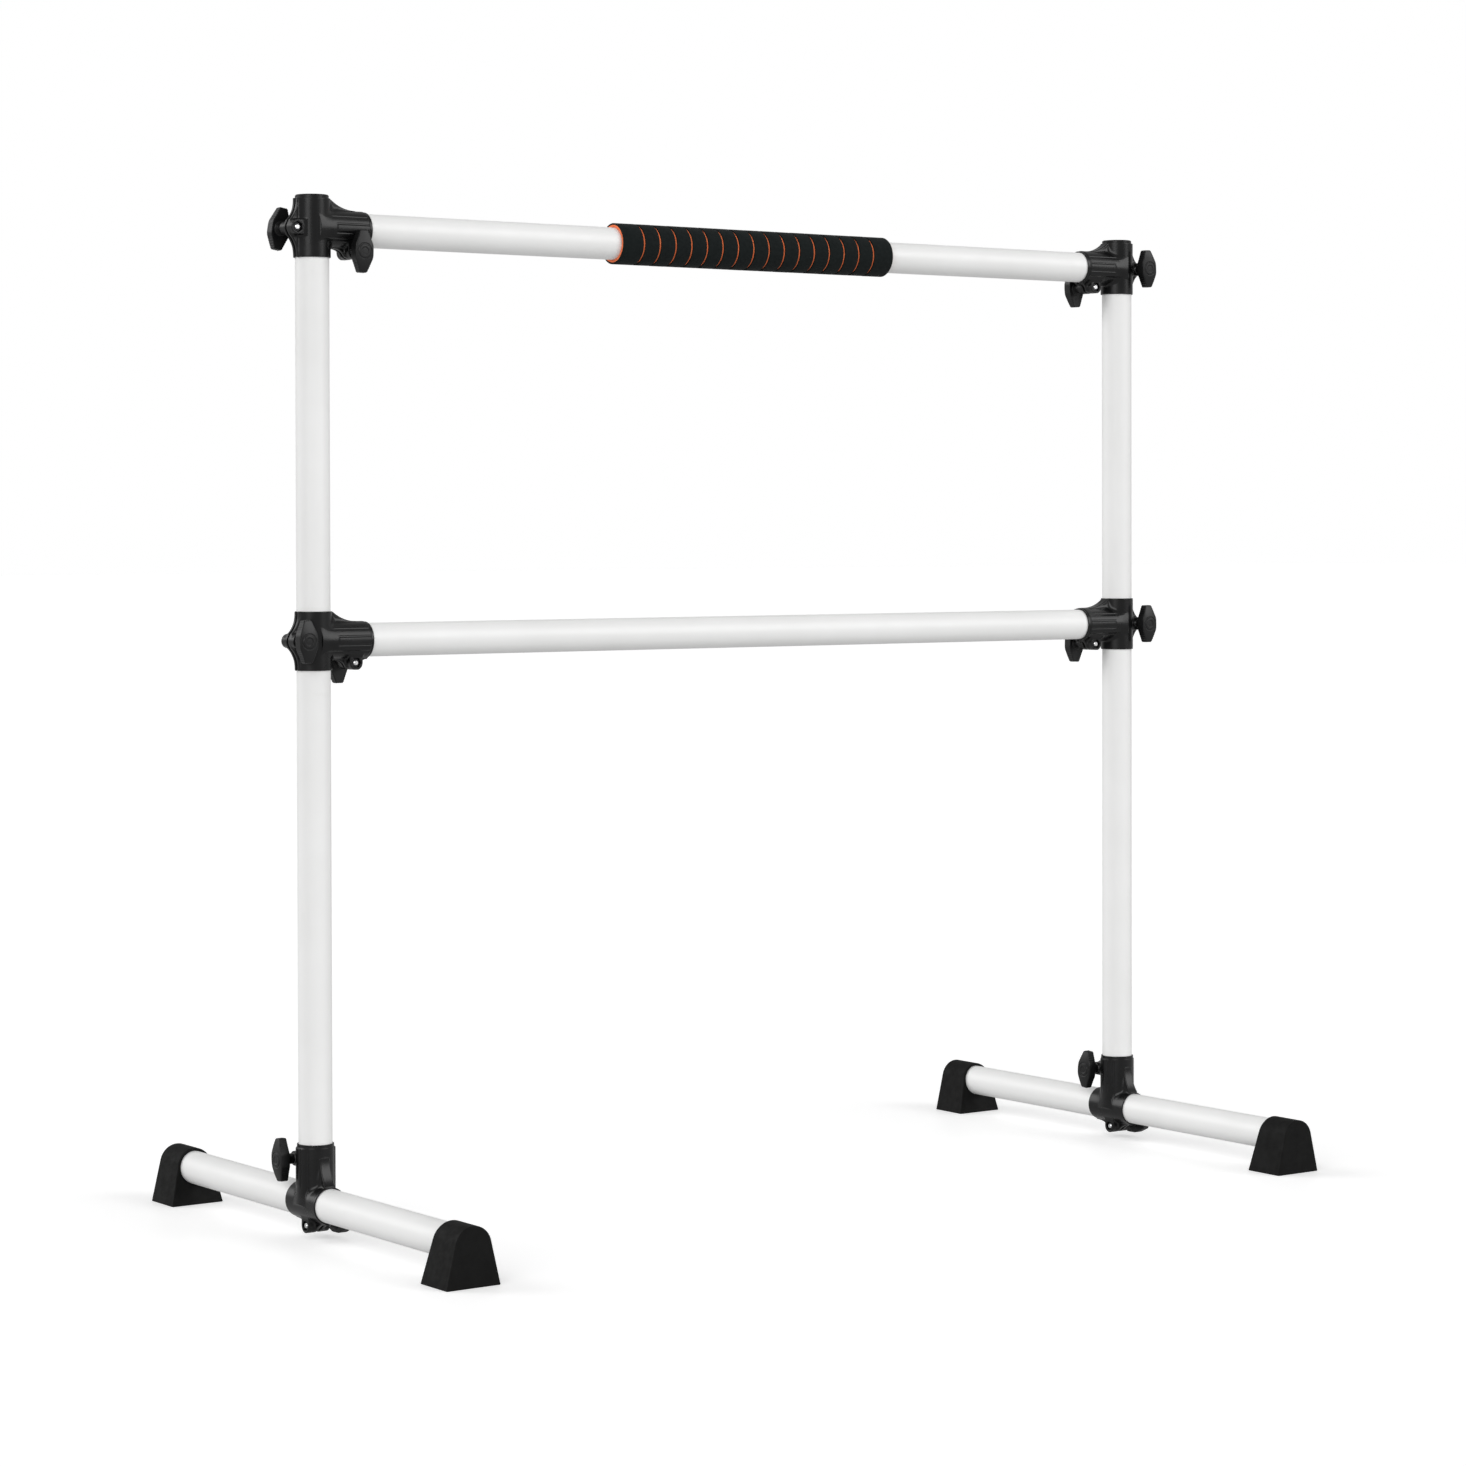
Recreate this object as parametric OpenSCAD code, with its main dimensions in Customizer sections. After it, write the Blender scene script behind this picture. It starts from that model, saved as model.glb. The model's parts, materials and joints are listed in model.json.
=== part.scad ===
// Free-standing double barre: two height-adjustable horizontal bars on two uprights.
// X runs along the bars, Y from front to back and Z up; the origin is on the floor,
// midway between the uprights. Millimetres.

/* [Frame] */
// Distance between the axes of the two uprights
upright_spacing = 1190; // [900:1:1500]
// Height of the top bar's axis above the floor
top_bar_z = 1129; // [1000:1:1300]
// Height of the lower bar's axis above the floor
low_bar_z = 670; // [450:1:800]
// Height of the base tubes' axes above the floor
base_tube_z = 43; // [40:1:60]
// Front-to-back length of each base, over its feet
base_len = 668; // [450:1:900]

/* [Tubes] */
// Outside diameter of every tube
tube_d = 38; // [36:0.5:40]
// Wall of every tube
tube_wall = 1.2; // [0.8:0.1:3]
// Height of the upright's plug above the top of the tube
cap_rise = 5; // [3:0.5:10]

/* [Clamp tees] */
// Radial gap between a tube and the tee around it
fit_gap = 0.3; // [0.1:0.05:0.5]
// Wall of the collar that the tube passes through
collar_wall = 1.5; // [1.2:0.1:2.5]
// Wall of the socket that holds a tube's end
socket_wall = 2; // [1.5:0.1:3]
// Length of the collar
collar_len = 66; // [60:1:90]
// Reach of the socket's mouth from the collar's axis
socket_reach = 66.5; // [65:0.5:90]
// Width of the saw cut that lets a sleeve close on its tube
slit_w = 3; // [1:0.5:5]
// Distance from the collar's axis to the socket's clamp bolt
socket_bolt_x = 47; // [45:0.5:48]
// Distance from a tube's surface to the axis of its clamp bolt
bolt_clear = 6.3; // [6:0.1:8]
// Radius of the round boss at each clamp bolt
boss_r = 8.2; // [7.5:0.1:9]
// Half the distance between the outer faces of a pair of bosses
boss_half = 14; // [12:0.5:16]
// Thickness of the pair of flared ears, the cut included
ear_pair_t = 11; // [8:0.5:20]
// Thickness of the gusset between collar and socket
gusset_t = 13; // [8:1:26]

/* [Fasteners] */
// Diameter of a clamp bolt's shank
bolt_d = 6; // [5:0.5:6.5]
// Width of a nut across its flats
nut_af = 10; // [8:0.5:11]
// Thickness of a nut
nut_t = 5; // [3:0.5:6]
// Outside diameter of a washer
washer_d = 12; // [10:0.5:16]
// Thickness of a washer
washer_t = 1.2; // [0.8:0.1:2]

/* [Knobs] */
// Length of a clamp knob from tip to tip
knob_len = 48; // [36:1:52]
// Width of a clamp knob at its middle
knob_w = 23; // [16:0.5:28]
// Length of a clamp knob's widest part
knob_flat = 14; // [6:1:20]
// Width of a clamp knob at its tips
knob_tip_w = 9.5; // [5:0.5:12]
// Thickness of a clamp knob at its middle
knob_t = 12.5; // [10:0.5:16]
// Thickness of a clamp knob at its tips
knob_tip_t = 9; // [5:0.5:10]
// Distance from a tube's surface to the inner face of its knob
knob_clear = 5.5; // [4:0.5:9]
// Diameter of the knob's stem
stem_d = 12; // [10:0.5:16]

/* [Grip] */
// Length of the foam grip on the top bar
grip_len = 400; // [380:5:600]
// Distance of the grip's middle from the middle of the bar
grip_shift = 8; // [-80:1:80]
// Outside diameter of the grip
grip_d = 48.5; // [46:0.5:60]
// Thickness of the grip's outer foam layer
grip_skin_t = 1.8; // [1:0.1:3]
// Number of grooves cut through the outer layer
groove_count = 16; // [4:1:16]
// Distance from groove to groove
groove_pitch = 22.7; // [8:0.1:23]
// Width of a groove
groove_w = 2.2; // [1:0.1:5]

/* [Feet] */
// Width of a foot at the floor
foot_w = 67; // [56:1:100]
// Length of a foot at the floor
foot_len = 54; // [46:1:70]
// Length of a foot at its top
foot_top_len = 45; // [30:1:46]
// Wall of a foot around the tube's end
foot_wall = 3.5; // [2.5:0.5:10]

/* [Hidden] */
round_fn = 96;
small_fn = 48;
tube_r = tube_d / 2;
bore_r = tube_r + fit_gap;
collar_r = bore_r + collar_wall;
socket_r = bore_r + socket_wall;
rim_len = 3;
rim_step = 0.5;
band_h = 0.7;
band_half = 11;
gusset_clear = 14.5;
socket_floor = bore_r + 3.5;
tube_start = socket_floor + 0.5;
bolt_off = tube_r + bolt_clear;
ear_top = bolt_off + 5;
bolt_gap = 0.08;
bolt_hole_gap = 0.25;
pocket_gap = 0.15;
nut_inset = 2.5;
washer_lift = 0.05;
knob_in = tube_r + knob_clear;
stem_in = boss_half + washer_t + 2 * washer_lift;
bolt_tail = -boss_half + 0.8;
bolt_tip = 0.8;
bolt_head_t = 4;
bolt_head_out = knob_in + 7;
post_x = upright_spacing / 2;
post_top = top_bar_z + collar_len / 2 - 1;
grip_r = grip_d / 2;
grip_core_r = grip_r - grip_skin_t;
foot_r = tube_r + foot_wall;
foot_end = 5;
base_tube_len = base_len - 2 * foot_end;

plastic = [0.1, 0.1, 0.11];
steel = [0.75, 0.76, 0.78];
paint = [0.95, 0.95, 0.94];
foam = [0.1, 0.12, 0.12];
orange = [0.9, 0.38, 0.2];

// Tees: name, place, turn, and for the collar's and the socket's clamp the side that the
// knob is on and the angle that it is parked at
TEES = [
    ["top_left", [-post_x, 0, top_bar_z], [0, 0, 0], [1, 11], [-1, 90]],
    ["top_right", [post_x, 0, top_bar_z], [0, 0, 180], [1, 4], [-1, 88]],
    ["low_left", [-post_x, 0, low_bar_z], [0, 0, 0], [-1, 3], [1, 90]],
    ["low_right", [post_x, 0, low_bar_z], [0, 0, 180], [1, 2], [-1, 93]],
    ["base_left", [-post_x, 0, base_tube_z], [0, -90, 90], [-1, 0], [1, 6]],
    ["base_right", [post_x, 0, base_tube_z], [0, -90, 90], [-1, 0], [1, -4]]
];
CLAMPS = ["collar", "socket"];
FRAME_NODES = [
    "base_tube_left", "base_tube_right",
    "foot_left_front", "foot_left_back", "foot_right_front", "foot_right_back",
    "upright_left", "upright_right", "upright_cap_left", "upright_cap_right"
];
BAR_NODES = ["top_bar", "grip_core", "grip_skin", "low_bar"];
TEE_NODES = [for (t = TEES) str("tee_", t[0])];
NUT_NODES = ["top_nuts", "low_nuts", "base_nuts"];
KNOB_NODES = [for (t = TEES, c = CLAMPS, k = ["knob", "bolt", "washer"]) str(k, "_", t[0], "_", c)];

// Radius of an arc that leaves a line tangentially and rises by a over the distance h
function arc_r(a, h) = (a * a + h * h) / (2 * a);

// Side and parking angle of a tee's knob
function parking(t, clamp) = clamp == "collar" ? t[3] : t[4];

module at_tee(t) {
    translate(t[1]) rotate(t[2]) children();
}

// Frame of a clamp's ears in a tee: X along the sleeve, Y away from it, Z along the bolt
module ear_frame(clamp) {
    if (clamp == "collar") rotate([90, -90, 0]) children();
    else translate([socket_bolt_x, 0, 0]) rotate([-90, 0, 0]) children();
}

// Frame of a clamp's bolt in a tee: Z along the bolt towards the knob
module bolt_frame(t, clamp) {
    side = parking(t, clamp)[0] * (clamp == "collar" ? -1 : 1);
    ear_frame(clamp) translate([0, bolt_off, 0]) rotate([0, side > 0 ? 0 : 180, 0]) children();
}

module tube(length) {
    difference() {
        cylinder(r = tube_r, h = length, $fn = round_fn);
        translate([0, 0, -1]) cylinder(r = tube_r - tube_wall, h = length + 2, $fn = round_fn);
    }
}

// Outline of a pair of ears that flares down to the sleeve's surface at both ends
module ear_outline(sleeve_r, low, high) {
    rise = ear_top - sleeve_r;
    difference() {
        translate([low, sleeve_r - 4]) square([high - low, rise + 4]);
        for (end = [low, high]) {
            r = arc_r(rise, abs(end) - boss_r);
            translate([end, sleeve_r + r]) circle(r = r, $fn = round_fn);
        }
        translate([-boss_r, bolt_off]) difference() {
            square([2 * boss_r, boss_r]);
            translate([boss_r, 0]) circle(r = boss_r, $fn = small_fn);
        }
    }
}

module ear_pair(sleeve_r, low, high) {
    linear_extrude(ear_pair_t, center = true) ear_outline(sleeve_r, low, high);
    translate([0, bolt_off, 0]) cylinder(r = boss_r, h = 2 * boss_half, center = true, $fn = small_fn);
    translate([-boss_r, 15, -boss_half]) cube([2 * boss_r, bolt_off - 15, 2 * boss_half]);
}

// Concave gusset that carries the collar's upper end into the socket
module gusset() {
    run = socket_reach - gusset_clear;
    r = arc_r(collar_len / 2 - socket_r, run - collar_r);
    rotate([90, 0, 0]) linear_extrude(gusset_t, center = true) difference() {
        square([run, collar_len / 2]);
        translate([run, socket_r + r]) circle(r = r, $fn = round_fn);
    }
}

module socket_shell() {
    rotate([0, 90, 0]) {
        cylinder(r = socket_r, h = socket_reach - rim_len, $fn = round_fn);
        cylinder(r = socket_r - rim_step, h = socket_reach, $fn = round_fn);
    }
    // raised bands along both sides
    intersection() {
        rotate([0, 90, 0]) cylinder(r = socket_r + band_h, h = socket_reach - rim_len, $fn = round_fn);
        translate([0, -2 * socket_r, -band_half]) cube([socket_reach, 4 * socket_r, 2 * band_half]);
    }
}

module clamp_cuts() {
    cylinder(d = bolt_d + 2 * bolt_hole_gap, h = 4 * boss_half, center = true, $fn = small_fn);
    translate([0, 0, -boss_half - 1])
        cylinder(r = (nut_af / 2 + pocket_gap) / cos(30), h = nut_t + nut_inset + 1.2, $fn = 6);
}

// Clamp tee: the collar runs along Z, the socket points along +X and both bolts lie along Y
module tee(t) {
    color(plastic) difference() {
        union() {
            cylinder(r = collar_r, h = collar_len, center = true, $fn = round_fn);
            socket_shell();
            gusset();
            ear_frame("collar") ear_pair(collar_r, -collar_len / 2, collar_len / 2);
            ear_frame("socket")
                ear_pair(socket_r, collar_r - socket_bolt_x + 3, socket_reach - socket_bolt_x - 1);
        }
        cylinder(r = bore_r, h = collar_len + 2, center = true, $fn = round_fn);
        translate([socket_floor, 0, 0]) rotate([0, 90, 0])
            cylinder(r = bore_r, h = socket_reach, $fn = round_fn);
        translate([-2 * bolt_off, -slit_w / 2, -collar_len]) cube([2 * bolt_off, slit_w, 2 * collar_len]);
        translate([socket_floor + 4, -slit_w / 2, -2 * bolt_off]) cube([socket_reach, slit_w, 2 * bolt_off]);
        for (c = CLAMPS) bolt_frame(t, c) clamp_cuts();
    }
}

// Nut in its pocket, with its outer edge chamfered
module nut() {
    translate([0, 0, -boss_half + nut_inset]) difference() {
        intersection() {
            cylinder(r = nut_af / 2 / cos(30), h = nut_t, $fn = 6);
            translate([0, 0, -nut_af / 2 + 0.6])
                cylinder(r1 = 0, r2 = nut_af + nut_t, h = nut_af + nut_t, $fn = small_fn);
        }
        translate([0, 0, -1]) cylinder(d = bolt_d + 2 * bolt_gap, h = nut_t + 2, $fn = small_fn);
    }
}

module nuts(group) {
    color(steel) for (t = TEES, c = CLAMPS)
        if (t[0] == str(group, "_left") || t[0] == str(group, "_right"))
            at_tee(t) bolt_frame(t, c) nut();
}

module washer() {
    color(steel) translate([0, 0, boss_half + washer_lift]) difference() {
        cylinder(d = washer_d, h = washer_t, $fn = small_fn);
        translate([0, 0, -1]) cylinder(d = bolt_d + 2 * bolt_hole_gap, h = washer_t + 2, $fn = small_fn);
    }
}

// Clamp bolt with a chamfered tip: its shank runs through the nut and its hexagonal head is
// held in the knob
module bolt() {
    color(steel) {
        translate([0, 0, bolt_tail])
            cylinder(r1 = bolt_d / 2 - bolt_tip, r2 = bolt_d / 2, h = bolt_tip, $fn = small_fn);
        translate([0, 0, bolt_tail + bolt_tip])
            cylinder(d = bolt_d, h = bolt_head_out - bolt_tail - bolt_tip, $fn = small_fn);
        translate([0, 0, bolt_head_out - bolt_head_t])
            cylinder(r = nut_af / 2 / cos(30), h = bolt_head_t, $fn = 6);
    }
}

// Outline of the knob's wing, with its long axis along X: straight flanks that slant to flat tips
module knob_outline() {
    tip = [knob_len / 2, knob_tip_w / 2];
    side = [knob_flat / 2, knob_w / 2];
    polygon([
        [-tip[0], -tip[1]], [-side[0], -side[1]], [side[0], -side[1]], [tip[0], -tip[1]],
        [tip[0], tip[1]], [side[0], side[1]], [-side[0], side[1]], [-tip[0], tip[1]]
    ]);
}

// Clamp knob: a wing with a domed face on a collared stem
module knob() {
    dome_r = arc_r(knob_t - knob_tip_t, knob_len / 2);
    color(plastic) difference() {
        union() {
            translate([0, 0, knob_in]) intersection() {
                linear_extrude(knob_t) knob_outline();
                translate([0, 0, knob_t - dome_r]) rotate([90, 0, 0])
                    cylinder(r = dome_r, h = 2 * knob_w, center = true, $fn = 240);
            }
            translate([0, 0, stem_in]) cylinder(d = stem_d, h = knob_in - stem_in + 1, $fn = small_fn);
            translate([0, 0, knob_in - 2]) cylinder(d = stem_d + 3, h = 3, $fn = small_fn);
        }
        translate([0, 0, stem_in - 1])
            cylinder(d = bolt_d + 2 * bolt_gap, h = bolt_head_out - stem_in + 1, $fn = small_fn);
        translate([0, 0, bolt_head_out - bolt_head_t - 0.1])
            cylinder(r = (nut_af / 2 + 0.1) / cos(30), h = bolt_head_t + 0.2, $fn = 6);
    }
}

module at_knob(t, clamp) {
    at_tee(t) bolt_frame(t, clamp) rotate([0, 0, parking(t, clamp)[1]]) children();
}

module upright(side) {
    bottom = base_tube_z + tube_start;
    color(paint) translate([side * post_x, 0, bottom]) tube(post_top - bottom);
}

// Plug in the upright's top end, no wider than the tube so that the top collar can pass it
module upright_cap(side) {
    head_r = tube_r - 0.2;
    plug_r = tube_r - tube_wall - 0.1;
    color(plastic) translate([side * post_x, 0, post_top]) {
        cylinder(r = head_r, h = cap_rise - 1, $fn = round_fn);
        translate([0, 0, cap_rise - 1]) cylinder(r1 = head_r, r2 = head_r - 1, h = 1, $fn = round_fn);
        translate([0, 0, -16]) difference() {
            cylinder(r = plug_r, h = 16, $fn = round_fn);
            translate([0, 0, -1]) cylinder(r = plug_r - 2, h = 14, $fn = round_fn);
        }
    }
}

module bar(height) {
    color(paint) translate([tube_start - post_x, 0, height]) rotate([0, 90, 0])
        tube(upright_spacing - 2 * tube_start);
}

module base_tube(side) {
    color(paint) translate([side * post_x, base_tube_len / 2, base_tube_z])
        rotate([90, 0, 0]) tube(base_tube_len);
}

// Foot at the front end of a base tube: its outer face is upright, its inner face leans and
// its sides run down from the round top along tangents
module foot_block() {
    top_z = base_tube_z + foot_r;
    reach = sqrt(pow(foot_w / 2, 2) + pow(base_tube_z, 2));
    tangent = acos(foot_r / reach) - atan2(base_tube_z, foot_w / 2);
    shoulder = [foot_r * cos(tangent), base_tube_z + foot_r * sin(tangent)];
    intersection() {
        rotate([90, 0, 0]) translate([0, 0, -foot_len]) linear_extrude(foot_len) {
            polygon([[-foot_w / 2, 0], [foot_w / 2, 0], shoulder, [-shoulder[0], shoulder[1]]]);
            translate([0, base_tube_z]) circle(r = foot_r, $fn = round_fn);
        }
        rotate([90, 0, 90]) linear_extrude(2 * foot_w, center = true)
            polygon([[0, 0], [foot_len, 0], [foot_top_len, top_z], [0, top_z]]);
    }
}

module foot(side, end) {
    color(plastic) translate([side * post_x, 0, 0]) mirror([0, end > 0 ? 1 : 0, 0])
        translate([0, -base_len / 2, 0]) difference() {
            foot_block();
            translate([0, foot_end - 0.2, base_tube_z]) rotate([-90, 0, 0])
                cylinder(r = bore_r, h = foot_len + 1, $fn = round_fn);
        }
}

module on_grip_axis() {
    translate([grip_shift - grip_len / 2, 0, top_bar_z]) rotate([0, 90, 0]) children();
}

module grip_core() {
    color(orange) on_grip_axis() difference() {
        cylinder(r = grip_core_r, h = grip_len, $fn = round_fn);
        translate([0, 0, -1]) cylinder(r = tube_r + 0.1, h = grip_len + 2, $fn = round_fn);
    }
}

// Outer foam layer, cut into bands by the grooves
module grip_skin() {
    first = (grip_len - (groove_count - 1) * groove_pitch) / 2;
    color(foam) on_grip_axis() difference() {
        cylinder(r = grip_r, h = grip_len, $fn = round_fn);
        translate([0, 0, -1]) cylinder(r = grip_core_r, h = grip_len + 2, $fn = round_fn);
        for (i = [0 : groove_count - 1])
            translate([0, 0, first + i * groove_pitch - groove_w / 2])
                cylinder(r = grip_r + 1, h = groove_w, $fn = round_fn);
    }
}

base_tube(-1);  // base_tube_left
base_tube(1);  // base_tube_right
foot(-1, -1);  // foot_left_front
foot(-1, 1);  // foot_left_back
foot(1, -1);  // foot_right_front
foot(1, 1);  // foot_right_back
upright(-1);  // upright_left
upright(1);  // upright_right
upright_cap(-1);  // upright_cap_left
upright_cap(1);  // upright_cap_right
bar(top_bar_z);  // top_bar
grip_core();
grip_skin();
bar(low_bar_z);  // low_bar
nuts("top");  // top_nuts
nuts("low");  // low_nuts
nuts("base");  // base_nuts
for (t = TEES) {
    at_tee(t) tee(t);
    for (c = CLAMPS) {
        at_knob(t, c) knob();
        at_knob(t, c) bolt();
        at_knob(t, c) washer();
    }
}
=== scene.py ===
"""Looks of a free-standing double barre: white tubes, moulded black tees and knobs, foam grip."""

import json
import math

import bpy
import numpy as np
import openvdb
from mathutils import Matrix, Vector

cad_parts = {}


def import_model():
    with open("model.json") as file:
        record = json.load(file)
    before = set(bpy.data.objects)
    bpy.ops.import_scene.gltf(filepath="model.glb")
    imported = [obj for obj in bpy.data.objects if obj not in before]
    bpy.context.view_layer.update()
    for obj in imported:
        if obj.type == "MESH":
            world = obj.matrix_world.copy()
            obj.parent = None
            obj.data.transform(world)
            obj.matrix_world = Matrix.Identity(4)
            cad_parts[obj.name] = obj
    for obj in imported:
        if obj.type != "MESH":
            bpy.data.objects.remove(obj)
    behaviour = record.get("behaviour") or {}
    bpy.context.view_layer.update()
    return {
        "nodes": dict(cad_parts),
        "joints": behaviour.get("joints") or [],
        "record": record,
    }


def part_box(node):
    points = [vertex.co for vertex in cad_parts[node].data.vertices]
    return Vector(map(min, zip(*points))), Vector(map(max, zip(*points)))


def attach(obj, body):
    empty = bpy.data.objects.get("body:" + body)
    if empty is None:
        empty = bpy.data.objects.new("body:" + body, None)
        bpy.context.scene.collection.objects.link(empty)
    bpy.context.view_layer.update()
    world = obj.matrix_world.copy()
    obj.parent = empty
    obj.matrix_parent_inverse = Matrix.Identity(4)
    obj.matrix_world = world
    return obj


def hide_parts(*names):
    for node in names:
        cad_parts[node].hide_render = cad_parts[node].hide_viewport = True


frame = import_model()
NODES = frame["nodes"]
JOINTS = {joint["name"]: joint for joint in frame["joints"]}
MM = 0.001


def centre_of(node):
    low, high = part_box(node)
    return (low + high) / 2


# ---------------------------------------------------------------- materials


class Look:
    """A node material, built up from a Principled shader."""

    def __init__(self, name, roughness, metallic=0.0, specular=0.5, sheen=0.0):
        self.material = bpy.data.materials.new(name)
        self.material.use_nodes = True
        self.tree = self.material.node_tree
        self.shader = self.tree.nodes["Principled BSDF"]
        self.shader.inputs["Roughness"].default_value = roughness
        self.shader.inputs["Metallic"].default_value = metallic
        self.shader.inputs["Specular IOR Level"].default_value = specular
        self.shader.inputs["Sheen Weight"].default_value = sheen
        self.place = self.add("ShaderNodeTexCoord").outputs["Object"]

    def add(self, kind, **values):
        node = self.tree.nodes.new(kind)
        for name, value in values.items():
            setattr(node, name, value)
        return node

    def join(self, output, socket):
        self.tree.links.new(output, socket)

    def noise(self, size, detail=3.0, rough=0.55, stretch=(1, 1, 1)):
        """Noise whose features are about size metres across."""
        node = self.add("ShaderNodeTexNoise")
        node.inputs["Scale"].default_value = 1 / size
        node.inputs["Detail"].default_value = detail
        node.inputs["Roughness"].default_value = rough
        mapping = self.add("ShaderNodeMapping")
        mapping.inputs["Scale"].default_value = stretch
        self.join(self.place, mapping.inputs["Vector"])
        self.join(mapping.outputs["Vector"], node.inputs["Vector"])
        return node.outputs["Fac"]

    def cells(self, size):
        """Rounded cells about size metres across."""
        node = self.add("ShaderNodeTexVoronoi", feature="F1")
        node.inputs["Scale"].default_value = 1 / size
        self.join(self.place, node.inputs["Vector"])
        return node.outputs["Distance"]

    def spread(self, value, low, high, out_low, out_high):
        """Stretches low to high onto out_low to out_high, and holds it there."""
        node = self.add("ShaderNodeMapRange")
        for name, number in zip(("From Min", "From Max", "To Min", "To Max"), (low, high, out_low, out_high)):
            node.inputs[name].default_value = number
        self.join(value, node.inputs["Value"])
        return node.outputs["Result"]

    def mix(self, value, first, second):
        """Colour between first and second, each an RGB tuple or an output."""
        node = self.add("ShaderNodeMix", data_type="RGBA")
        for socket, colour in ((node.inputs[6], first), (node.inputs[7], second)):
            if isinstance(colour, tuple):
                socket.default_value = (*colour, 1)
            else:
                self.join(colour, socket)
        self.join(value, node.inputs[0])
        return node.outputs[2]

    def colour(self, output):
        self.join(output, self.shader.inputs["Base Color"])

    def roughness(self, output):
        self.join(output, self.shader.inputs["Roughness"])

    def bump(self, *heights):
        """Stacks bumps, each given as (height output, depth in metres, strength)."""
        last = None
        for height, depth, strength in heights:
            node = self.add("ShaderNodeBump")
            node.inputs["Distance"].default_value = depth
            node.inputs["Strength"].default_value = strength
            self.join(height, node.inputs["Height"])
            if last:
                self.join(last, node.inputs["Normal"])
            last = node.outputs["Normal"]
        self.join(last, self.shader.inputs["Normal"])


def white_paint():
    look = Look("white_powder_coat", 0.4, specular=0.45)
    tint = look.spread(look.noise(0.12), 0.35, 0.65, 0, 1)
    tint = look.mix(tint, (0.845, 0.845, 0.838), (0.875, 0.875, 0.87))
    scuff = look.noise(0.05, 6, 0.7, (0.25, 1, 1))
    look.colour(look.mix(look.spread(scuff, 0.66, 0.8, 0, 0.35), tint, (0.72, 0.71, 0.69)))
    look.roughness(look.spread(look.noise(0.02, 4), 0.3, 0.7, 0.32, 0.45))
    look.bump((look.noise(0.0016, 2, 0.5), 0.00006, 0.35), (look.noise(0.012, 2), 0.0002, 0.12))
    return look.material


def moulded_plastic(name, dark, light, low, high, grain):
    """Slightly glossy plastic, of roughness low to high, with a fine grain and soft hollows."""
    look = Look(name, low, specular=0.32)
    look.colour(look.mix(look.spread(look.noise(0.03, 1), 0.3, 0.7, 0, 1), dark, light))
    look.roughness(look.spread(look.noise(0.03, 1), 0.45, 0.75, low, high))
    look.bump((look.noise(grain, 2, 0.6), 0.00006, 0.15), (look.noise(0.009, 2), 0.0003, 0.12))
    return look.material


def foot_rubber():
    look = Look("foot_rubber", 0.6, specular=0.12)
    tint = look.spread(look.noise(0.03, 5), 0.3, 0.7, 0, 1)
    look.colour(look.mix(tint, (0.0035, 0.0035, 0.0034), (0.006, 0.006, 0.0058)))
    look.roughness(look.spread(look.noise(0.01, 6, 0.7), 0.4, 0.75, 0.58, 0.78))
    look.bump((look.cells(0.0009), 0.0001, 0.3), (look.noise(0.015, 2), 0.0004, 0.15))
    return look.material


def foam(name, dark, light, sheen):
    """Closed-cell foam: fine cells over small and large unevenness."""
    look = Look(name, 0.9, specular=0.15, sheen=sheen)
    tint = look.spread(look.noise(0.004, 5, 0.65), 0.35, 0.65, 0, 1)
    look.colour(look.mix(tint, dark, light))
    look.roughness(look.spread(look.noise(0.002, 3), 0.3, 0.7, 0.8, 0.95))
    look.bump(
        (look.cells(0.0007), 0.00018, 0.55),
        (look.noise(0.0022, 3), 0.0003, 0.35),
        (look.noise(0.02, 2), 0.0005, 0.2),
    )
    return look.material


def steel(name, dark, light, low, high):
    look = Look(name, low, metallic=1.0)
    look.colour(look.mix(look.spread(look.noise(0.003, 4), 0.35, 0.65, 0, 1), dark, light))
    look.roughness(look.spread(look.noise(0.0012, 4), 0.3, 0.7, low, high))
    look.bump((look.noise(0.0006, 2), 0.00004, 0.3))
    return look.material


LOOKS = {
    "white_paint": white_paint(),
    "black_plastic": moulded_plastic(
        "black_moulded_nylon", (0.0028, 0.0029, 0.003), (0.005, 0.0051, 0.0054), 0.27, 0.35, 0.0008
    ),
    "knob_plastic": moulded_plastic(
        "black_knob_plastic", (0.0032, 0.0033, 0.0035), (0.006, 0.0061, 0.0064), 0.34, 0.5, 0.0006
    ),
    "foot_rubber": foot_rubber(),
    "foam_black": foam("black_foam", (0.0035, 0.0058, 0.0058), (0.0075, 0.0105, 0.0104), 0.02),
    "foam_orange": foam("orange_foam", (0.9, 0.17, 0.055), (0.98, 0.25, 0.09), 0.1),
    "steel": steel("zinc_plated_steel", (0.66, 0.67, 0.69), (0.8, 0.8, 0.79), 0.2, 0.36),
    # Steel for the nuts, darkened to near black as painted shade: the zinc nuts sit in the shade of their
    # pockets.
    "dark_steel": steel("nut_steel_darkened_as_painted_shade", (0.02, 0.02, 0.021), (0.05, 0.05, 0.052), 0.35, 0.5),
}

# ------------------------------------------------- distance fields, in millimetres


def soft_min(a, b, k):
    """Union of two fields, with a fillet about k wide where they meet."""
    h = np.maximum(k - np.abs(a - b), 0) / k
    return np.minimum(a, b) - h * h * k / 4


def soft_max(a, b, k):
    """Where both fields are negative, with an edge softened over about k."""
    return -soft_min(-a, -b, k)


def rounded(a, b, radius):
    """Where both fields are negative, with the edge between them rounded."""
    a, b = a + radius, b + radius
    return np.minimum(np.maximum(a, b), 0) + np.hypot(np.maximum(a, 0), np.maximum(b, 0)) - radius


def ramp(value, low, high):
    """Smooth step from 0 at low to 1 at high."""
    t = np.clip((value - low) / (high - low), 0, 1)
    return t * t * (3 - 2 * t)


def arc_r(rise, run):
    """Radius of the arc that rises by rise over run, level at its start."""
    return (rise * rise + run * run) / (2 * rise)


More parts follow.
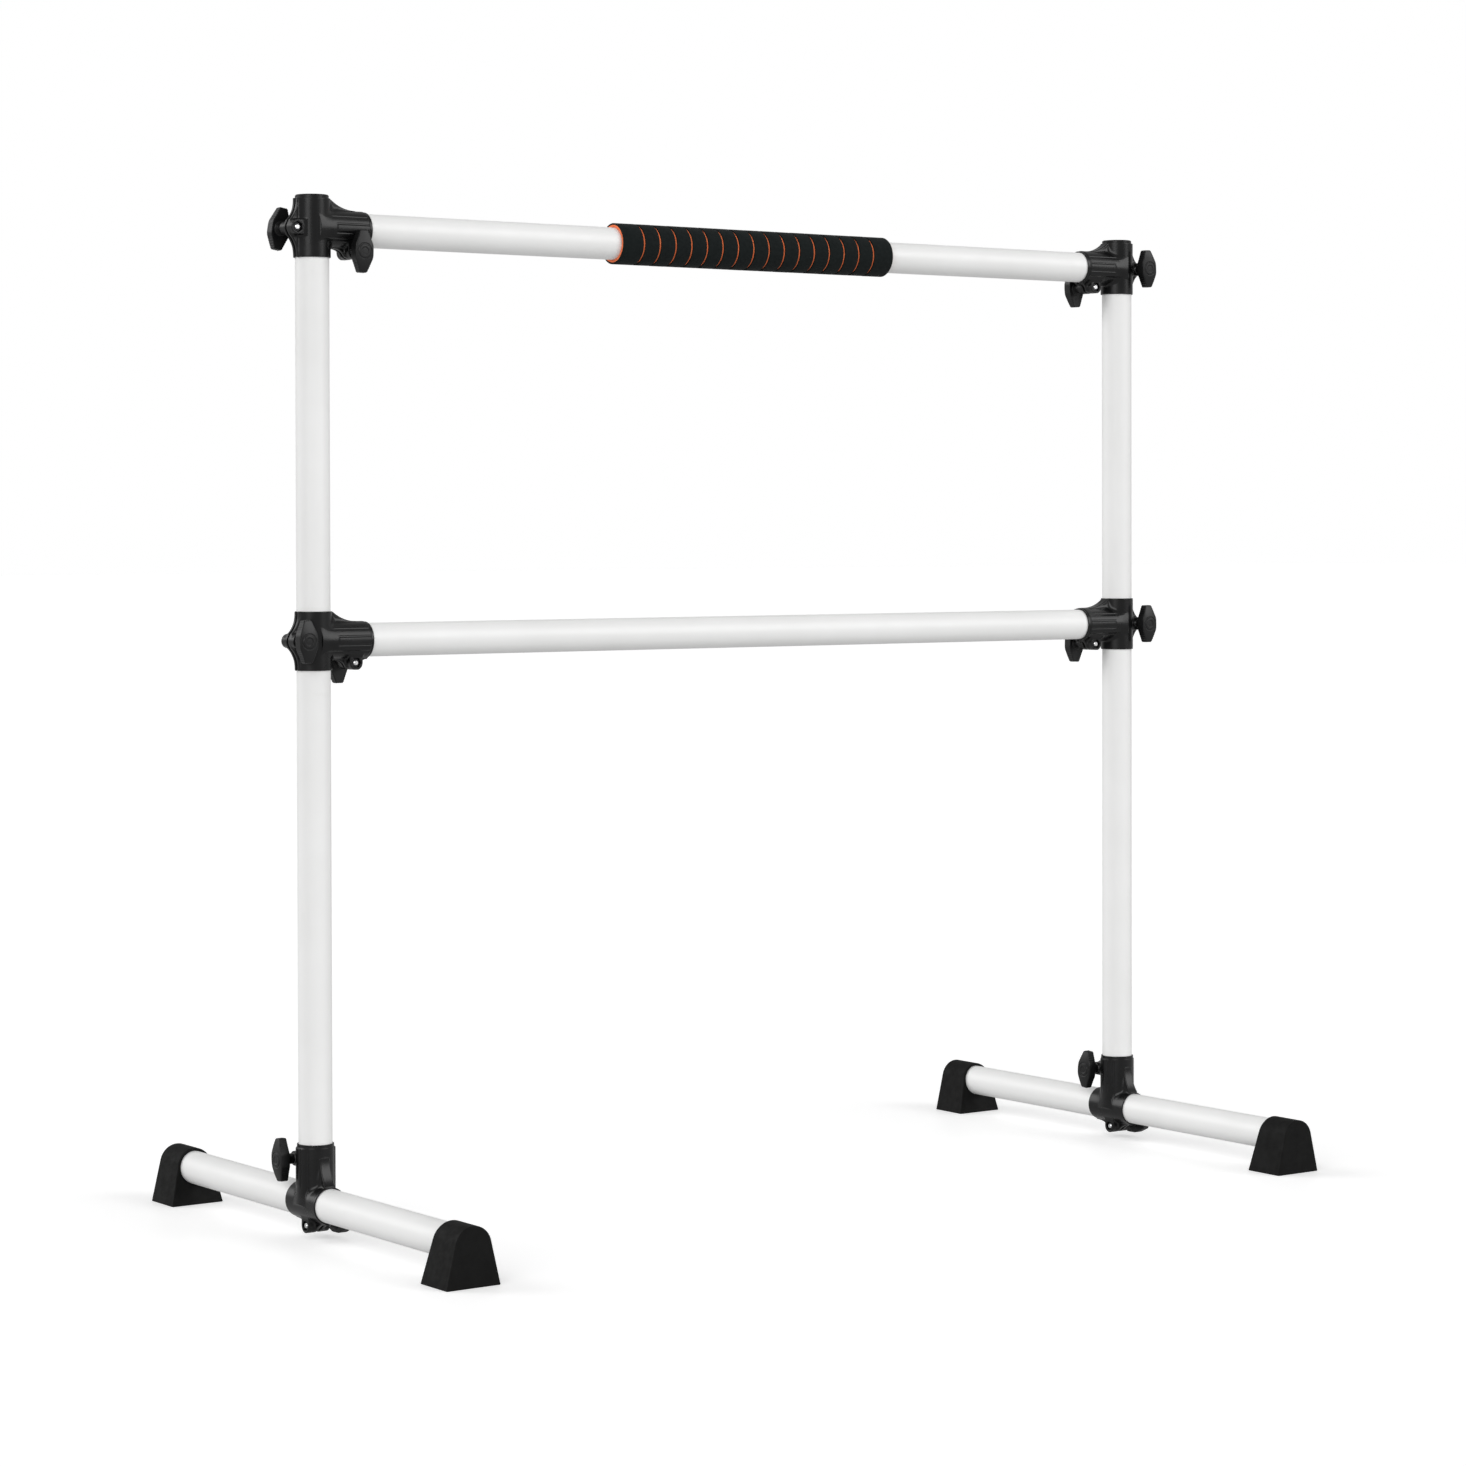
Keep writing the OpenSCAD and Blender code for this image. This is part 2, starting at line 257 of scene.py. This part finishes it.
def hexagon(u, v, apothem):
    """Hexagonal prism with its flats apothem away from the axis."""
    c, s = math.cos(math.pi / 6), math.sin(math.pi / 6)
    return np.maximum(np.abs(v), np.maximum(np.abs(u * c + v * s), np.abs(u * c - v * s))) - apothem


TUBE_R = 19.0
BORE_R = 19.3
COLLAR_R = 20.8
COLLAR_HALF = 33.0
SOCKET_R = 21.3
SOCKET_REACH = 66.5  # from the collar's axis to the socket's mouth
SOCKET_FLOOR = 22.8  # where the tube in the socket ends
SOCKET_BOLT = 47.0
BOLT_OFF = 25.3  # from a sleeve's axis to its clamp bolt's axis
BOLT_R = 3.25
NUT_APOTHEM = 5.15
NUT_FLOOR = 6.3
SLOT_HALF = 1.5  # half the saw cut
EAR_TOP = 30.3
EAR_HALF = 5.5
BOSS_R = 8.2
BOSS_HALF = 13.9  # the soft joins add 0.1, up to the face under the washer
WEB_HALF = 6.5  # half the web between collar and socket
SOCKET_ARC_END = 14.5  # the web's arc ends this far from the mouth
EDGE = 0.8  # rounding of most moulded edges


def ear_pair(u, v, w, sleeve_r, low, high):
    """Flared ears with their bosses: u along the sleeve, v away from it, w along the bolt."""
    outline = np.maximum(np.maximum(v - EAR_TOP, sleeve_r - 4 - v), np.maximum(low - u, u - high))
    for end in (low, high):
        r = arc_r(EAR_TOP - sleeve_r, abs(end) - BOSS_R)
        outline = np.maximum(outline, r - np.hypot(u - end, v - sleeve_r - r))
    ears = rounded(outline, np.abs(w) - EAR_HALF, 1.2)
    boss = rounded(np.hypot(u, v - BOLT_OFF) - BOSS_R, np.abs(w) - BOSS_HALF, EDGE)
    block = np.maximum(np.maximum(np.abs(u) - BOSS_R, 15 - v), v - BOLT_OFF)
    block = rounded(block, np.abs(w) - BOSS_HALF, EDGE)
    return soft_min(soft_min(boss, block, 0.4), ears, 3.5)


BAND_HALF, BAND_RISE = 11.5, 0.9  # raised band along each side of the socket
RIB_HALF, RIB_RISE = 3.8, 0.4  # rib along the band's middle
RIB_LINE, RIB_LINE_DEPTH = 5.0, 0.4  # line beside the rib
BAND_LINE, BAND_LINE_DEPTH = 12.6, 0.5  # line beside the band
FLARE_START, FLARE_RUN, FLARE_RISE = 14, 22, 14  # the band widens in a quarter ellipse towards the collar
LIP_STEP = 0.6  # the socket's lip is this much thinner


def side_relief(x, z):
    """How far the socket's side stands proud, with its band, its rib and the lines beside them."""
    across = np.abs(z)
    to_collar = np.clip((FLARE_START - x) / FLARE_RUN, 0, 1)
    flare = FLARE_RISE - FLARE_RISE * np.sqrt(1 - np.square(to_collar))
    band = BAND_RISE * ramp(BAND_HALF + flare - across, 0, 0.6) * ramp(x, -12, -3)
    rib = RIB_RISE * ramp(RIB_HALF - across, 0, 0.6) * ramp(x, 19, 22)
    rib = rib - RIB_LINE_DEPTH * (1 - ramp(np.abs(across - RIB_LINE), 0.3, 1.3)) * ramp(x, 17, 22)
    band_line = BAND_LINE_DEPTH * (1 - ramp(np.abs(across - BAND_LINE - flare), 0.3, 1.4)) * ramp(x, -9, 2)
    return (band + rib - band_line) * (1 - ramp(x, 61.5, 62.3))


def tee_field(x, y, z):
    """Tee with its collar along Z and its socket along +X.

    The collar's knob is on the +Y side and the socket's on the -Y side.
    """
    rho = np.hypot(x, y)
    collar = rounded(rho - COLLAR_R, np.abs(z) - COLLAR_HALF, 0.9)
    lip = LIP_STEP * ramp(x, SOCKET_REACH - 4.2, SOCKET_REACH - 3.4)
    cross = np.hypot(y, z)
    socket = rounded(cross - SOCKET_R + lip - side_relief(x, z), x - SOCKET_REACH, EDGE)
    socket = np.maximum(socket, -x)
    run = SOCKET_REACH - SOCKET_ARC_END
    r = arc_r(COLLAR_HALF - SOCKET_R, run - COLLAR_R)
    web = np.maximum(np.maximum(x - run, -z), z - COLLAR_HALF + 0.6)
    web = np.maximum(np.maximum(web, -x), r - np.hypot(x - run, z - SOCKET_R - r))
    body = soft_min(collar, socket, 4.0)
    blend = 0.4 + 4.6 * (1 - ramp(x, run - 26, run - 6)) * (1 - ramp(z, 22, 31))
    body = soft_min(body, rounded(web, np.abs(y) - WEB_HALF, 1.5), blend)
    body = soft_min(body, ear_pair(z, -x, y, COLLAR_R, -COLLAR_HALF, COLLAR_HALF), 3.0)
    socket_ears = ear_pair(
        x - SOCKET_BOLT, -z, y, SOCKET_R, COLLAR_R - SOCKET_BOLT + 3, SOCKET_REACH - SOCKET_BOLT - 1
    )
    body = soft_min(body, socket_ears, 3.0)
    body = np.maximum(body, np.abs(z) - COLLAR_HALF)
    cuts = [
        rho - BORE_R,
        np.maximum(cross - BORE_R, SOCKET_FLOOR - x),
        np.maximum(np.abs(y) - SLOT_HALF, x + 0 * z),
        np.maximum(np.maximum(np.abs(y) - SLOT_HALF, z), SOCKET_FLOOR + 4 - x),
    ]
    for u, v, knob in ((z, -x - BOLT_OFF, 1), (x - SOCKET_BOLT, -z - BOLT_OFF, -1)):
        cuts.append(np.hypot(u, v) - BOLT_R)
        cuts.append(np.maximum(hexagon(u, v, NUT_APOTHEM), y * knob + NUT_FLOOR))
    for cut in cuts:
        body = soft_max(body, -cut, EDGE)
    return body


KNOB_HALF, KNOB_HALF_W, KNOB_TIP_HALF, KNOB_FLAT = 24.0, 11.5, 4.75, 7.0
KNOB_T, KNOB_TIP_T, KNOB_BACK = 12.5, 9.0, -9.2
STEM_R, STEM_RING_R = 6, 7.5
RIDGE_PITCH, TOOTH_PITCH = 2.3, 2.6
FACE_RING_R = 8.4


def knob_field(x, y, z):
    """Wing knob, long along X.

    Its outer face is towards +Z, and its wing's inner face is at z = 0.
    """
    run, drop = KNOB_HALF - KNOB_FLAT, KNOB_HALF_W - KNOB_TIP_HALF
    rho = np.hypot(x, y)
    ridges = 0.25 * (1 + np.cos(2 * math.pi * y / RIDGE_PITCH)) * ramp(np.abs(x), 20, 22)
    teeth = 0.15 * (1 + np.cos(2 * math.pi * x / TOOTH_PITCH)) * ramp(np.abs(x), 9, 12)
    slant = ((np.abs(x) - KNOB_FLAT) * drop + (np.abs(y) - KNOB_HALF_W) * run) / math.hypot(run, drop)
    flanks = soft_max(np.abs(y) - KNOB_HALF_W, slant, 1.0)
    outline = soft_max(flanks + teeth, np.abs(x) - KNOB_HALF + ridges, 0.8)
    crown = KNOB_T - x * x * (KNOB_T - KNOB_TIP_T) / KNOB_HALF**2 - y * y / 130
    crown = crown - 0.6 * (1 - ramp(np.abs(rho - FACE_RING_R), 0.3, 1.2)) - 0.7 * (1 - ramp(rho, 3.8, 5.2))
    wing = soft_max(outline, z - crown, 1.2)
    wing = soft_max(wing, -z, 1.0)
    stem = rounded(rho - STEM_R, np.maximum(KNOB_BACK - z, z - 3), 0.5)
    ring = rounded(rho - STEM_RING_R, np.maximum(-2 - z, z - 3), 0.7)
    return soft_min(wing, soft_min(stem, ring, 0.6), 1.6)


FOOT_W, FOOT_L, FOOT_TOP_L, FOOT_R, FOOT_AXIS = 67.0, 54.0, 45.0, 22.5, 43.0
FOOT_END = 4.8  # the foot's wall over the tube's end


def foot_field(x, y, z):
    """Foot with its outer face at y = 0 and the floor at z = 0."""
    reach = math.hypot(FOOT_W / 2, FOOT_AXIS)
    lean = math.acos(FOOT_R / reach) - math.atan2(FOOT_AXIS, FOOT_W / 2)
    top = FOOT_AXIS + FOOT_R
    flanks = np.abs(x) * math.cos(lean) + (z - FOOT_AXIS) * math.sin(lean) - FOOT_R
    block = np.maximum(flanks, z - FOOT_AXIS - FOOT_R * math.sin(lean))
    outline = np.minimum(np.hypot(x, z - FOOT_AXIS) - FOOT_R, block)
    back = ((y - FOOT_L) * top + z * (FOOT_L - FOOT_TOP_L)) / math.hypot(top, FOOT_L - FOOT_TOP_L)
    body = rounded(rounded(outline, -y, 1.4), back, 1.4)
    bore = np.maximum(np.hypot(x, z - FOOT_AXIS) - BORE_R, FOOT_END - y)
    return soft_max(soft_max(body, -z, 0.9), -bore, 1.2)


NORMALS = {}  # of each moulding's mesh, by its name
SLOPE_STEP = 0.2


def slopes(field, mesh):
    """Unit normals of the field at the mesh's vertices, which thinning the mesh doesn't disturb."""
    points = np.empty(3 * len(mesh.vertices))
    mesh.vertices.foreach_get("co", points)
    points = points.reshape(-1, 3) / MM
    normals = np.empty_like(points)
    for i in range(3):
        shift = np.zeros(3)
        shift[i] = SLOPE_STEP
        normals[:, i] = field(*(points + shift).T) - field(*(points - shift).T)
    return normals / np.maximum(np.linalg.norm(normals, axis=1, keepdims=True), 1e-9)


def mesh_of(name, field, low, high, step, keep=1.0):
    """Mesh of the field's zero surface, in metres, thinned to a share of its faces."""
    axes = [np.arange(a, b + step, step, dtype=np.float32) for a, b in zip(low, high)]
    values = field(*np.meshgrid(*axes, indexing="ij", sparse=True))
    grid = openvdb.FloatGrid()
    reach = 3 * step
    grid.background = reach
    grid.copyFromArray(np.clip(values, -reach, reach).astype(np.float32))
    grid.transform = openvdb.createLinearTransform(voxelSize=step)
    points, triangles, quads = grid.convertToPolygons(isovalue=0.0, adaptivity=0.0)
    points = (points + np.array(low, np.float32)) * MM
    faces = np.vstack([quads[:, [0, 1, 2]], quads[:, [0, 2, 3]], triangles]).astype(np.int64)
    a, b, c = (points[faces[:, i]] for i in range(3))
    if np.einsum("ij,ij->i", a, np.cross(b, c)).sum() < 0:
        quads, triangles = quads[:, ::-1], triangles[:, ::-1]
    mesh = bpy.data.meshes.new(name)
    mesh.from_pydata(points.tolist(), [], quads.tolist() + triangles.tolist())
    mesh.shade_smooth()
    if keep < 1:
        piece = bpy.data.objects.new(name, mesh)
        bpy.context.scene.collection.objects.link(piece)
        thin = piece.modifiers.new("thin", "DECIMATE")
        thin.ratio = keep
        graph = bpy.context.evaluated_depsgraph_get()
        thinned = bpy.data.meshes.new_from_object(piece.evaluated_get(graph))
        bpy.data.objects.remove(piece)
        bpy.data.meshes.remove(mesh)
        mesh = thinned
        mesh.name = name
    NORMALS[mesh.name] = slopes(field, mesh)
    return mesh


def mirrored(mesh, name):
    """A copy of the mesh, mirrored in Y."""
    copy = mesh.copy()
    copy.name = name
    copy.transform(Matrix.Diagonal((1, -1, 1, 1)))
    copy.flip_normals()
    NORMALS[copy.name] = NORMALS[mesh.name] * (1, -1, 1)
    return copy


def piece_of(name, mesh, matrix, body, slot, *nodes):
    """Places a copy of the mesh, paints it as its slot and lets it stand for CAD nodes."""
    normals = NORMALS.get(mesh.name)
    mesh = mesh.copy()
    mesh.name = name
    mesh.transform(matrix)
    if normals is not None:
        mesh.normals_split_custom_set_from_vertices(normals @ np.array(matrix.to_3x3()).T)
    mesh.materials.append(LOOKS[slot])
    piece = bpy.data.objects.new(name, mesh)
    bpy.context.scene.collection.objects.link(piece)
    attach(piece, body)
    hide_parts(*nodes)
    return piece


def axes_matrix(x_axis, z_axis, origin):
    """Places a piece with its X and Z along two directions."""
    x_axis, z_axis = Vector(x_axis).normalized(), Vector(z_axis).normalized()
    y_axis = z_axis.cross(x_axis)
    matrix = Matrix((x_axis, y_axis, z_axis)).transposed().to_4x4()
    matrix.translation = origin
    return matrix


# ---------------------------------------------------------------- tees

tee_mesh = mesh_of("tee_moulding", tee_field, (-36, -25, -36), (69, 25, 36), step=0.5, keep=0.5)
tee_mirror = mirrored(tee_mesh, "tee_moulding_mirrored")
bar_z = {"top": centre_of("top_bar").z, "low": centre_of("low_bar").z, "base": centre_of("base_tube_left").z}
for level, side in ((level, side) for level in bar_z for side in ("left", "right")):
    name = f"{level}_{side}"
    middle = Vector((centre_of(f"upright_{side}").x, 0, bar_z[level]))
    if level == "base":
        socket_axis, collar_axis = (0, 0, 1), (0, -1, 0)
    else:
        socket_axis, collar_axis = ((1, 0, 0) if side == "left" else (-1, 0, 0)), (0, 0, 1)
    matrix = axes_matrix(socket_axis, collar_axis, middle)
    knob_axis = Vector(JOINTS[f"{name}_collar_turn"]["axis"])
    mesh = tee_mesh if matrix.col[1].to_3d().dot(knob_axis) > 0 else tee_mirror
    body = {"top": "top_barre", "low": "low_barre", "base": "frame"}[level]
    piece_of(f"tee_{name}_moulded", mesh, matrix, body, "black_plastic", f"tee_{name}")

# ---------------------------------------------------------------- knobs

knob_mesh = mesh_of("knob_moulding", knob_field, (-25, -12.5, -10.5), (25, 12.5, 13.5), step=0.4, keep=0.4)
for name, joint in JOINTS.items():
    if not name.endswith("_turn"):
        continue
    clamp = name[: -len("_turn")]
    node = NODES[f"knob_{clamp}"]
    axis = Vector(joint["axis"])
    points = np.array([v.co for v in node.data.vertices])
    offsets = points - points.mean(0)
    across = offsets - np.outer(offsets @ np.array(axis), np.array(axis))
    long_axis = Vector(np.linalg.svd(across, full_matrices=False)[2][0])
    pivot = Vector(joint["pos_m"])
    out = max(abs((corner - pivot).dot(axis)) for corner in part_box(f"knob_{clamp}"))
    origin = pivot + axis * (out - KNOB_T * MM)
    matrix = axes_matrix(long_axis, axis, origin)
    piece_of(f"knob_{clamp}_moulded", knob_mesh, matrix, f"{clamp}_knob", "knob_plastic", f"knob_{clamp}")

# ---------------------------------------------------------------- feet

foot_mesh = mesh_of("foot_moulding", foot_field, (-35, -1.5, -1.5), (35, 56, 67), step=0.7, keep=0.3)
for side in ("left", "right"):
    for end, inward in (("front", 1), ("back", -1)):
        node = f"foot_{side}_{end}"
        low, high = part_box(node)
        origin = Vector(((low.x + high.x) / 2, low.y if inward > 0 else high.y, 0))
        matrix = axes_matrix((inward, 0, 0), (0, 0, 1), origin)
        piece_of(f"{node}_moulded", foot_mesh, matrix, "frame", "foot_rubber", node)

# ---------------------------------------------------------------- grip

GROOVES, GROOVE_PITCH, GROOVE_W = 16, 22.7, 2.5
CORE_HIDDEN, SKIN_GAP = 0.0004, 0.00005
SKIN_EDGE, CORE_EDGE = 0.0007, 0.0009
WOBBLE = 0.00008
SPOKES = 112


def lathe(name, rings, wobble=0.0, seed=1):
    """Closed ring-shaped mesh round X from profiles, each a closed loop of (x, radius) in metres."""
    rng = np.random.default_rng(seed)
    points, faces = [], []
    turn = np.linspace(0, 2 * math.pi, SPOKES, endpoint=False)
    for profile in rings:
        start, count = len(points), len(profile)
        phases = rng.uniform(0, 2 * math.pi, 4)
        for along, radius in profile:
            for angle in turn:
                slow = math.sin(3 * angle + phases[0] + along * 40)
                quick = math.sin(7 * angle + phases[1] - along * 90)
                r = radius + wobble * (slow + quick) / 2
                points.append((along, r * math.cos(angle), r * math.sin(angle)))
        for i in range(count):
            for j in range(SPOKES):
                a, b = start + i * SPOKES, start + (i + 1) % count * SPOKES
                k = (j + 1) % SPOKES
                faces.append((a + j, a + k, b + k, b + j))
    mesh = bpy.data.meshes.new(name)
    mesh.from_pydata(points, [], faces)
    mesh.shade_smooth()
    return mesh


def foam_profile(low, high, inner, outer, edge):
    """Closed profile of a foam ring with rounded outer edges."""
    loop = [(low, inner)]
    for centre, start in ((low + edge, 180), (high - edge, 90)):
        for step in range(7):
            angle = math.radians(start - step * 15)
            loop.append((centre + edge * math.cos(angle), outer - edge + edge * math.sin(angle)))
    return loop + [(high, inner)]


low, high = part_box("grip_skin")
grip_r = (high.z - low.z) / 2
core_low, core_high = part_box("grip_core")
core_r = (core_high.z - core_low.z) / 2
first = (low.x + high.x) / 2 - (GROOVES - 1) * GROOVE_PITCH * MM / 2
edges = [low.x]
for i in range(GROOVES):
    middle = first + i * GROOVE_PITCH * MM
    edges += [middle - GROOVE_W * MM / 2, middle + GROOVE_W * MM / 2]
edges.append(high.x)
rings = [
    foam_profile(start, end, core_r - CORE_HIDDEN, grip_r - SKIN_GAP, SKIN_EDGE)
    for start, end in zip(edges[::2], edges[1::2])
]
on_axis = Matrix.Translation(Vector((0, 0, bar_z["top"])))
skin_mesh = lathe("grip_skin_foam", rings, WOBBLE)
skin = piece_of("grip_skin_foam", skin_mesh, on_axis, "top_barre", "foam_black", "grip_skin")
core_mesh = lathe(
    "grip_core_foam", [foam_profile(core_low.x, core_high.x, (TUBE_R + 0.1) * MM, core_r, CORE_EDGE)]
)
core = piece_of("grip_core_foam", core_mesh, on_axis, "top_barre", "foam_orange", "grip_core")

# ---------------------------------------------------------------- carried-over CAD nodes

CAP_BEVEL, METAL_BEVEL = 0.0008, 0.00025
SLOTS = {part["node"]: part["material_slot"] for part in frame["record"]["subparts"]}
for name, node in NODES.items():
    node.data.materials.clear()
    node.data.materials.append(LOOKS[SLOTS[name]])
    if SLOTS[name] in ("steel", "dark_steel") or name.startswith("upright_cap"):
        edge = node.modifiers.new("edge", "BEVEL")
        edge.width = CAP_BEVEL if name.startswith("upright_cap") else METAL_BEVEL
        edge.segments = 3
        edge.limit_method = "ANGLE"
        edge.angle_limit = math.radians(35)
        edge.harden_normals = True

# ---------------------------------------------------------------- floor, light and camera


def camera_only(tree, plain, seen, kind, *inputs):
    """Picks seen for what the camera sees directly, and plain for all other rays.

    Both are outputs or plain numbers. The inputs are the mixing node's factor and its two values.
    """
    pick = tree.nodes.new(kind)
    tree.links.new(tree.nodes.new("ShaderNodeLightPath").outputs["Is Camera Ray"], pick.inputs[inputs[0]])
    for value, socket in ((plain, pick.inputs[inputs[1]]), (seen, pick.inputs[inputs[2]])):
        if isinstance(value, float):
            socket.default_value = value
        else:
            tree.links.new(value, socket)
    return pick.outputs[0]


FLOOR_HALF = 60
FLOOR_WHITE, FLOOR_GLOW = 0.84, 0.38  # as the camera sees it
FLOOR_THROWN, FLOOR_THROWN_GLOW = 0.4, 0.21  # as it lights the object


def floor():
    """Pale floor that throws back less light than it shows, so that undersides stay shaded."""
    mesh = bpy.data.meshes.new("studio_floor")
    corners = [(x * FLOOR_HALF, y * FLOOR_HALF, 0) for x, y in ((-1, -1), (1, -1), (1, 1), (-1, 1))]
    mesh.from_pydata(corners, [], [(0, 1, 2, 3)])
    plane = bpy.data.objects.new("studio_floor", mesh)
    bpy.context.scene.collection.objects.link(plane)
    look = Look("pale_floor", 0.45, specular=0.15)
    look.shader.inputs["Base Color"].default_value = (FLOOR_WHITE, FLOOR_WHITE, FLOOR_WHITE, 1)
    look.shader.inputs["Emission Color"].default_value = (1, 1, 1, 1)
    look.shader.inputs["Emission Strength"].default_value = FLOOR_GLOW
    dim = look.add("ShaderNodeBsdfDiffuse")
    dim.inputs["Color"].default_value = (FLOOR_THROWN, FLOOR_THROWN, FLOOR_THROWN, 1)
    glow = look.add("ShaderNodeEmission")
    glow.inputs["Strength"].default_value = FLOOR_THROWN_GLOW
    thrown = look.add("ShaderNodeAddShader")
    look.join(dim.outputs[0], thrown.inputs[0])
    look.join(glow.outputs[0], thrown.inputs[1])
    seen = look.shader.outputs[0]
    both = camera_only(look.tree, thrown.outputs[0], seen, "ShaderNodeMixShader", 0, 1, 2)
    look.join(both, look.tree.nodes["Material Output"].inputs["Surface"])
    mesh.materials.append(look.material)


HORIZON_LIGHT, OVERHEAD_LIGHT = 0.48, 0.34


def world():
    """White studio, which lights the object a little more from the horizon than from overhead."""
    sky = bpy.data.worlds.new("studio")
    bpy.context.scene.world = sky
    sky.use_nodes = True
    tree = sky.node_tree
    split = tree.nodes.new("ShaderNodeSeparateXYZ")
    tree.links.new(tree.nodes.new("ShaderNodeTexCoord").outputs["Generated"], split.inputs[0])
    level = tree.nodes.new("ShaderNodeMapRange")
    level.inputs["To Min"].default_value = HORIZON_LIGHT
    level.inputs["To Max"].default_value = OVERHEAD_LIGHT
    tree.links.new(split.outputs["Z"], level.inputs["Value"])
    both = camera_only(tree, level.outputs["Result"], 1.0, "ShaderNodeMix", 0, 2, 3)
    tree.links.new(both, tree.nodes["Background"].inputs["Strength"])
    tree.nodes["Background"].inputs["Color"].default_value = (1, 1, 1, 1)


def soft_sun(name, towards, level, spread):
    """Soft light from far off, spread degrees wide.

    A white surface that faces it shows it at level.
    """
    data = bpy.data.lights.new(name, "SUN")
    data.energy = level * math.pi
    data.angle = math.radians(spread)
    lamp = bpy.data.objects.new(name, data)
    bpy.context.scene.collection.objects.link(lamp)
    lamp.rotation_euler = (-Vector(towards)).to_track_quat("-Z", "Y").to_euler()


CAMERA_LENS, CAMERA_SENSOR, CAMERA_SHIFT = 93.03, 36, -0.0975
CAMERA_TURN = (0.6243, 0.0158, 0.0022)  # yaw, pitch and roll in radians
CAMERA_PLACE = (-2.6823, -3.6971, 0.7922)


def camera():
    """The photo's camera, as fitted to the tubes' edges and the feet."""
    data = bpy.data.cameras.new("camera")
    data.lens = CAMERA_LENS
    data.sensor_width = CAMERA_SENSOR
    data.shift_y = CAMERA_SHIFT
    data.clip_end = 200
    view = bpy.data.objects.new("camera", data)
    bpy.context.scene.collection.objects.link(view)
    yaw, pitch, roll = CAMERA_TURN
    ahead = Vector((math.sin(yaw) * math.cos(pitch), math.cos(yaw) * math.cos(pitch), -math.sin(pitch)))
    level_right = Vector((math.cos(yaw), -math.sin(yaw), 0))
    level_down = ahead.cross(level_right)
    right = math.cos(roll) * level_right + math.sin(roll) * level_down
    down = math.cos(roll) * level_down - math.sin(roll) * level_right
    view.matrix_world = Matrix((right, -down, -ahead)).transposed().to_4x4()
    view.matrix_world.translation = CAMERA_PLACE
    bpy.context.scene.camera = view


floor()
world()
soft_sun("key", (-0.82, -0.58, 0.42), 0.38, 40)
soft_sun("fill_right", (0.56, -0.8, 0.44), 0.37, 38)
soft_sun("fill_left", (-0.66, 0.75, 0.5), 0.31, 38)
camera()
bpy.context.scene.view_settings.view_transform = "Standard"
